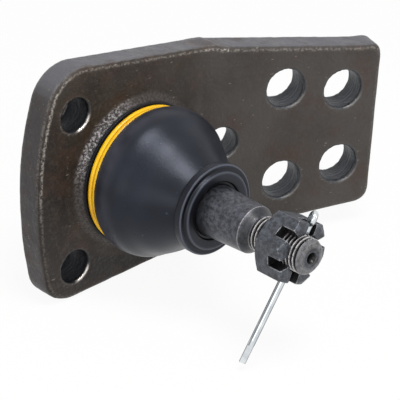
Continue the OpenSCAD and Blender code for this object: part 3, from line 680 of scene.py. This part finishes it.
def sag(a, r, z):
    """Slack of the moulded wall: the rubber isn't a perfect cone."""
    u = (z - GROOVE_TOP) / (NECK_Z - GROOVE_TOP)
    if not 0 < u < 1:
        return 0, 0
    hold = math.sin(math.pi * u) ** 0.8
    lift = noise.noise(Vector((1.1 * math.cos(a), 1.1 * math.sin(a), z / 16)))
    return 0.55 * hold * lift, 0


lower = [q for q in outside if q[1] < SPLIT_Z - 0.05] + [(boot_r(SPLIT_Z), SPLIT_Z)]
upper = [(boot_r(SPLIT_Z), SPLIT_Z)] + [q for q in outside if q[1] > SPLIT_Z + 0.05]
lower_in = [(q[0] - WALL, q[1]) for q in reversed(lower) if q[1] > SPIGOT_TOP + 3.2]
upper_in = [(q[0] - WALL, q[1]) for q in reversed(upper)]

foot = [(FOOT_IN_R, BASE_Z), (FOOT_R, BASE_Z), (FOOT_R, BASE_Z + FOOT_LIP)]
foot += [(GROOVE_R, BASE_Z + FOOT_LIP), (GROOVE_R, GROOVE_TOP)]
foot = rounded(foot, {1: 0.3, 2: 0.3, 3: 0.3}, 3)
profile = finer(foot + lower + lower_in + [(FOOT_IN_R, SPIGOT_TOP + 1)], 1.2, True)
boot_lower = piece("boot_lower", *lathe(profile, BOOT_SIDES, wobble=sag), rubber)
sharpen(boot_lower, 50)
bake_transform(boot_lower)
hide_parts("dust_boot")

# The flange, the groove over it, the raised ridge, and the mouth that opens round the stud.
lip = [(20.1, 53.1), (LIP_R, 53.8), (LIP_R, 57.0), (20.3, 57.5), (18.5, 57.3), (17.8, 58.9), (16.4, 58.9)]
lip += [(13.6, 58.75), (13.0, 57.75), (LIP_IN_R, 57.65), (LIP_IN_R, 57.45)]
lip += [(15.36, 57.45), (15.36, 53.85), (LIP_IN_R, 53.85), (LIP_IN_R, 52.7)]
lip = rounded(lip, {0: 0.5, 1: 0.4, 2: 0.3, 3: 0.25, 4: 0.4, 5: 0.25, 6: 0.3, 7: 0.3}, 3)
profile = finer(upper + lip + upper_in, 1.0, True)
boot_upper = piece("boot_upper", *lathe(profile, BOOT_SIDES, wobble=sag), rubber)
sharpen(boot_upper, 50)
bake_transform(boot_upper)
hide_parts("dust_boot")
for boot in (boot_lower, boot_upper):
    p = joint_points(boot.data)
    r, z = np.hypot(p[:, 0], p[:, 1]), p[:, 2]
    # Painted highlights on the flange's and the ridge's edges.
    flange_highlight = band(r, 20.35, 20.9, 0.12) * (z > 56.9)
    ridge_highlight = band(r, 17.55, 17.85, 0.12) * (z > 58.4)
    mark(boot.data, "bright_edge", 0.7 * flange_highlight + 0.6 * ridge_highlight)
    # Dust with a painted lighter band on the boot near the ring.
    foot_dust_and_sheen = 0.85 * (1 - smooth(z, GROOVE_TOP + 1, GROOVE_TOP + 13)) * (r > 28) * (z > 15)
    # Painted shade in the mouth round the stud and in the lip's groove.
    mouth_shade = (1 - smooth(r, 14.2, 15.6)) * (z > 52)
    groove_shade = band(r, 18.4, 19.3, 0.3) * band(z, 57, 57.6, 0.2)
    mark(boot.data, "dust_and_sheen", foot_dust_and_sheen)
    mark(boot.data, "recess_shade", mouth_shade + groove_shade)

# ---------------------------------------------------------------- wire ring

WIRE_R, RING_R, TURN_Z, TURN_PITCH = 1.25, 31.35, 11.55, 2.55
# Not quite two turns, the second beside the first.
WIRE_SIDES, STEP_DEGREES, STEPS = 16, 2, 344
round_wire = [TURN * k / WIRE_SIDES for k in range(WIRE_SIDES)]
section = [(WIRE_R * math.cos(a), WIRE_R * math.sin(a)) for a in round_wire]
path = []
for k in range(STEPS):
    a = math.radians(STEP_DEGREES * k)
    climb = float(smooth(np.array(float(STEP_DEGREES * k)), 330, 360))
    out = Vector((math.cos(a), math.sin(a), 0))
    path.append((out * RING_R + Vector((0, 0, TURN_Z + TURN_PITCH * climb)), out, Vector((0, 0, 1))))
ring = piece("wire_ring", *tube(path, section), lacquer, "housing", "clamp_ring")
sharpen(ring, 50)
# Painted shade on the wire's upper and lower sides.
side_shade = [0.7 * abs(math.sin(a)) ** 6 for a in round_wire]
mark(ring.data, "painted_side_shade", np.array(side_shade * len(path)))

# ---------------------------------------------------------------- stud

SIDES = 144
THREAD_START, STUD_END, PITCH = 85.3, 114.7, 2.0
BALL_R, BALL_FLAT_Z, NECK = 18.0, -15.6, 10.6
END_ROUND, END_FLAT_R = 2.0, 5.5
SHOULDER_Z, SHOULDER_R, CREST_R, THREAD_DEPTH = 81.6, 10.7, 8.0, 1.22


def taper_r(z):
    """Radius of the 1:12 taper, which ends at the shoulder above the thread."""
    return SHOULDER_R + (SHOULDER_Z - z) / 24


flat_r = math.sqrt(BALL_R**2 - BALL_FLAT_Z**2)
ball = [(0.0, BALL_FLAT_Z), (flat_r, BALL_FLAT_Z)]
low_angle, top_angle = math.pi - math.asin(flat_r / BALL_R), math.asin(NECK / BALL_R)
for a in np.linspace(low_angle, top_angle, 41)[1:]:
    ball.append((BALL_R * math.sin(a), BALL_R * math.cos(a)))
shank = [(NECK, 20.0), (NECK, 34.0), (taper_r(44), 44.0), (SHOULDER_R, SHOULDER_Z), (CREST_R, THREAD_START)]
shank = rounded([ball[-1]] + shank, {1: 2, 2: 3, 3: 2, 4: 0.25}, 4)[1:]
points, faces = lathe(finer(ball + shank, 1.2), SIDES, closed=False)

# The thread is drawn with rows that follow its helix, so every crest stays sharp.
rows_a_turn = 16
rows = int((STUD_END - THREAD_START) / PITCH * rows_a_turn) + 2 * rows_a_turn
first = len(points)
for k in range(SIDES):
    for i in range(rows + 1):
        z = THREAD_START - PITCH + (i / rows_a_turn + k / SIDES) * PITCH
        off = abs(((i / rows_a_turn) % 1) - 0.5) * PITCH
        cut = min(max((off - 0.14) / 0.62, 0), 1) * THREAD_DEPTH
        cut *= float(smooth(np.array(z), THREAD_START, THREAD_START + 0.9))
        z = min(max(z, THREAD_START), STUD_END)
        near_end = max(0.0, (z - STUD_END + END_ROUND) / END_ROUND)
        rounding = END_FLAT_R + (CREST_R - END_FLAT_R) * math.sqrt(1 - near_end**2)
        r = min(CREST_R - cut, rounding)
        a = TURN * k / SIDES
        points.append((r * math.cos(a), r * math.sin(a), z))
for k in range(SIDES):
    m, lift = (k + 1, 0) if k + 1 < SIDES else (0, rows_a_turn)
    for i in range(rows - lift):
        a, b = first + k * (rows + 1) + i, first + m * (rows + 1) + i + lift
        faces.append((a, b, b + 1, a + 1))
# The end face, with a faint turned ring and the centre hole: radius and depth.
end = [(END_FLAT_R, 0), (4.2, 0), (4.0, 0.12), (3.7, 0.12), (3.5, 0)]
end += [(2.9, 0), (2.5, 0.15), (1.3, 2.2), (1.2, 4.3), (0, 4.6)]
end = [(r, STUD_END - deep) for r, deep in end]
more, caps = lathe(end, SIDES, closed=False)
faces += [tuple(len(points) + v for v in f) for f in caps]
points += more
stud = piece("turned_stud", points, faces, turned, "stud", "ball_stud")
p = joint_points(stud.data)
r, z = np.hypot(p[:, 0], p[:, 1]), p[:, 2]
crests = band(z, THREAD_START + 0.6, STUD_END - END_ROUND, 0.4) * smooth(r, 7.6, 7.97)
shoulder = 0.4 * band(z, 81.5, 81.7, 0.08)
end_edge = 0.16 * smooth(z, STUD_END - END_ROUND, STUD_END - 1.5) * smooth(r, 4.8, 5.4)
# Painted shade in the thread roots and the centre hole, a painted shadow with oil near the lip, and a darker cone.
root_shade = band(z, THREAD_START, STUD_END - END_ROUND, 0.2) * (1 - smooth(r, 7.0, 7.5))
cone = 0.7 * band(z, 82.0, THREAD_START, 0.2)
lip_shadow_and_oil = 0.65 * (1 - smooth(z, 58, 67))
centre_hole_shade = (z > STUD_END - 6) * (1 - 0.7 * smooth(r, 2.5, 2.8) - 0.3 * smooth(r, 4.0, 4.6))
mark(stud.data, "bright_edge", np.maximum.reduce([crests, shoulder, end_edge]))
mark(stud.data, "painted_shade_and_oil", np.maximum.reduce([root_shade, cone, lip_shadow_and_oil, centre_hole_shade]))
sharpen(stud, 38)

# ---------------------------------------------------------------- castle nut

NUT_TOP, SLOT_DEPTH, SLOT_WIDTH, NUT_TURN, NUT_VOXEL = 110.0, 7.2, 5.0, 35.6, 0.28
NUT_WAVES = ((5, 0.05, 5), (1.6, 0.05, 9))
mesh = reskinned("castle_nut", NUT_VOXEL)
p, n = joint_points(mesh), normals(mesh)
worn = smooth(bulge(mesh, 1), 0.65, 1.25)
# The slots are marked for painted shade.
in_slot = np.zeros(len(p))
for k in range(3):
    a = math.radians(NUT_TURN + 30 + 60 * k)
    off_middle = np.abs(p[:, 1] * math.cos(a) - p[:, 0] * math.sin(a))
    in_slot = np.maximum(in_slot, 1 - smooth(off_middle, SLOT_WIDTH / 2 + 0.05, SLOT_WIDTH / 2 + 0.3))
in_slot *= smooth(p[:, 2], NUT_TOP - SLOT_DEPTH - 0.4, NUT_TOP - SLOT_DEPTH - 0.1)
set_points(mesh, waves(p, n, np.ones(len(p)), NUT_WAVES))
mark(mesh, "bright_edge", worn)
mark(mesh, "painted_slot_shade", in_slot * (1 - worn))
dress(mesh, "castle_nut_forging", pressed, "stud", "castle_nut")

# ---------------------------------------------------------------- split pin

PIN_R, LEG_GAP, LOOP_R, EYE_BEND, EYE_GAP = 1.55, 0.05, 1.85, 3.0, 12
SHORT_LEG, LONG_LEG = 61.0, 69.5
PIN_Z, PIN_TURN, PIN_DROOP, PIN_ROLL, EYE_OUT = 106.29, 245.6, 7.5, 130, 15.5
bend_at = math.sqrt((LOOP_R + EYE_BEND) ** 2 - (LEG_GAP + EYE_BEND) ** 2)
opening = math.degrees(math.atan2(LEG_GAP + EYE_BEND, bend_at))


def arc(cx, cy, r, a0, a1, n):
    """Points on an arc from angle a0 to a1, in degrees."""
    return [
        Vector((cx + r * math.cos(math.radians(a)), cy + r * math.sin(math.radians(a))))
        for a in np.linspace(a0, a1, n + 1)
    ]


# The pin laid flat: short leg, eye and long leg. It is then turned into the nut's slot.
flat = [Vector((SHORT_LEG, LEG_GAP)), Vector((SHORT_LEG - 0.4, LEG_GAP))]
flat += [Vector((x, LEG_GAP)) for x in np.linspace(SHORT_LEG - 3, bend_at + 2, 24)]
flat += arc(bend_at, LEG_GAP + EYE_BEND, EYE_BEND, 270, 180 + opening, 8)
flat += arc(0, 0, LOOP_R, opening + EYE_GAP, 360 - EYE_GAP - opening, 40)
flat += arc(bend_at, -LEG_GAP - EYE_BEND, EYE_BEND, 180 - opening, 90, 8)
flat += [Vector((x, -LEG_GAP)) for x in np.linspace(bend_at + 2, LONG_LEG - 3, 30)]
flat += [Vector((LONG_LEG - 0.4, -LEG_GAP)), Vector((LONG_LEG, -LEG_GAP))]

lie = Matrix.Translation((0, 0, PIN_Z)) @ Matrix.Rotation(math.radians(PIN_TURN), 4, "Z")
lie = lie @ Matrix.Rotation(math.radians(PIN_DROOP), 4, "Y") @ Matrix.Rotation(math.radians(PIN_ROLL), 4, "X")
lie = lie @ Matrix.Translation((-EYE_OUT, 0, 0))
# Half-round section, with points on its flat beside the corners, so that the painted dark line there stays narrow.
half = [(PIN_R * math.cos(math.radians(a)), PIN_R * math.sin(math.radians(a))) for a in range(0, 181, 12)]
half[0], half[-1] = (PIN_R - 0.08, 0), (-PIN_R + 0.08, 0)
half += [(-PIN_R + 0.4, 0), (0, 0), (PIN_R - 0.4, 0)]
path, turn = [], lie.to_3x3()
for i, q in enumerate(flat):
    u = (flat[min(i + 1, len(flat) - 1)] - flat[max(i - 1, 0)]).normalized()
    tip = 0.82 if i in (0, len(flat) - 1) else 1
    side, up = turn @ Vector((0, 0, 1)) * tip, turn @ Vector((u.y, -u.x, 0)) * tip
    path.append((lie @ Vector((q.x, q.y, 0)), side, up))
pin = piece("split_pin", *tube(path, half), zinc, "stud", "cotter_pin")
dark_lines = {0: 1, 1: 0.8, 3: 0.8, 4: 0.8, 11: 0.8, 12: 0.8, 14: 0.8, 15: 1}
mark(pin.data, "painted_dark_lines", np.array([dark_lines.get(k, 0) for k in range(len(half))] * len(path)))
sharpen(pin, 40)

# ---------------------------------------------------------------- cover behind the cup

cover = [(0, -25.35), (14.2, -25.35), (17.8, -24.15), (23.8, -24.15), (23.8, -27.15), (17.8, -27.15)]
cover = rounded(cover + [(14.2, -28.35), (0, -28.35)], {1: 1, 2: 1, 3: 0.3, 4: 0.3, 5: 1, 6: 1})
points, faces = lathe(finer(cover, 1.5), 128, closed=False)
cover = piece("pressed_cover", points, faces, sheet, "housing", "cover_plate")
sharpen(cover, 50)

# ---------------------------------------------------------------- CAD nodes that stay, all inside the cup or the lip

for name, material in (
    ("upper_bearing", acetal),
    ("lower_bearing", acetal),
    ("pressure_cup", sheet),
    ("disc_spring", turned),
    ("lip_ring", pressed),
):
    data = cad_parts[name].data
    data.materials.clear()
    data.materials.append(material)

# ---------------------------------------------------------------- floor

low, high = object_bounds()
floor_mesh = bpy.data.meshes.new("studio_floor")
FLOOR_R, FLOOR_SIDES, FLOOR_BELOW = 4, 64, 0.0005
rim = [TURN * k / FLOOR_SIDES for k in range(FLOOR_SIDES)]
rim = [(FLOOR_R * math.cos(a), FLOOR_R * math.sin(a), low.z - FLOOR_BELOW) for a in rim]
floor_mesh.from_pydata(rim, [], [tuple(range(FLOOR_SIDES))])
floor_mesh.materials.append(paper)
floor = bpy.data.objects.new("studio_floor", floor_mesh)
scene.collection.objects.link(floor)
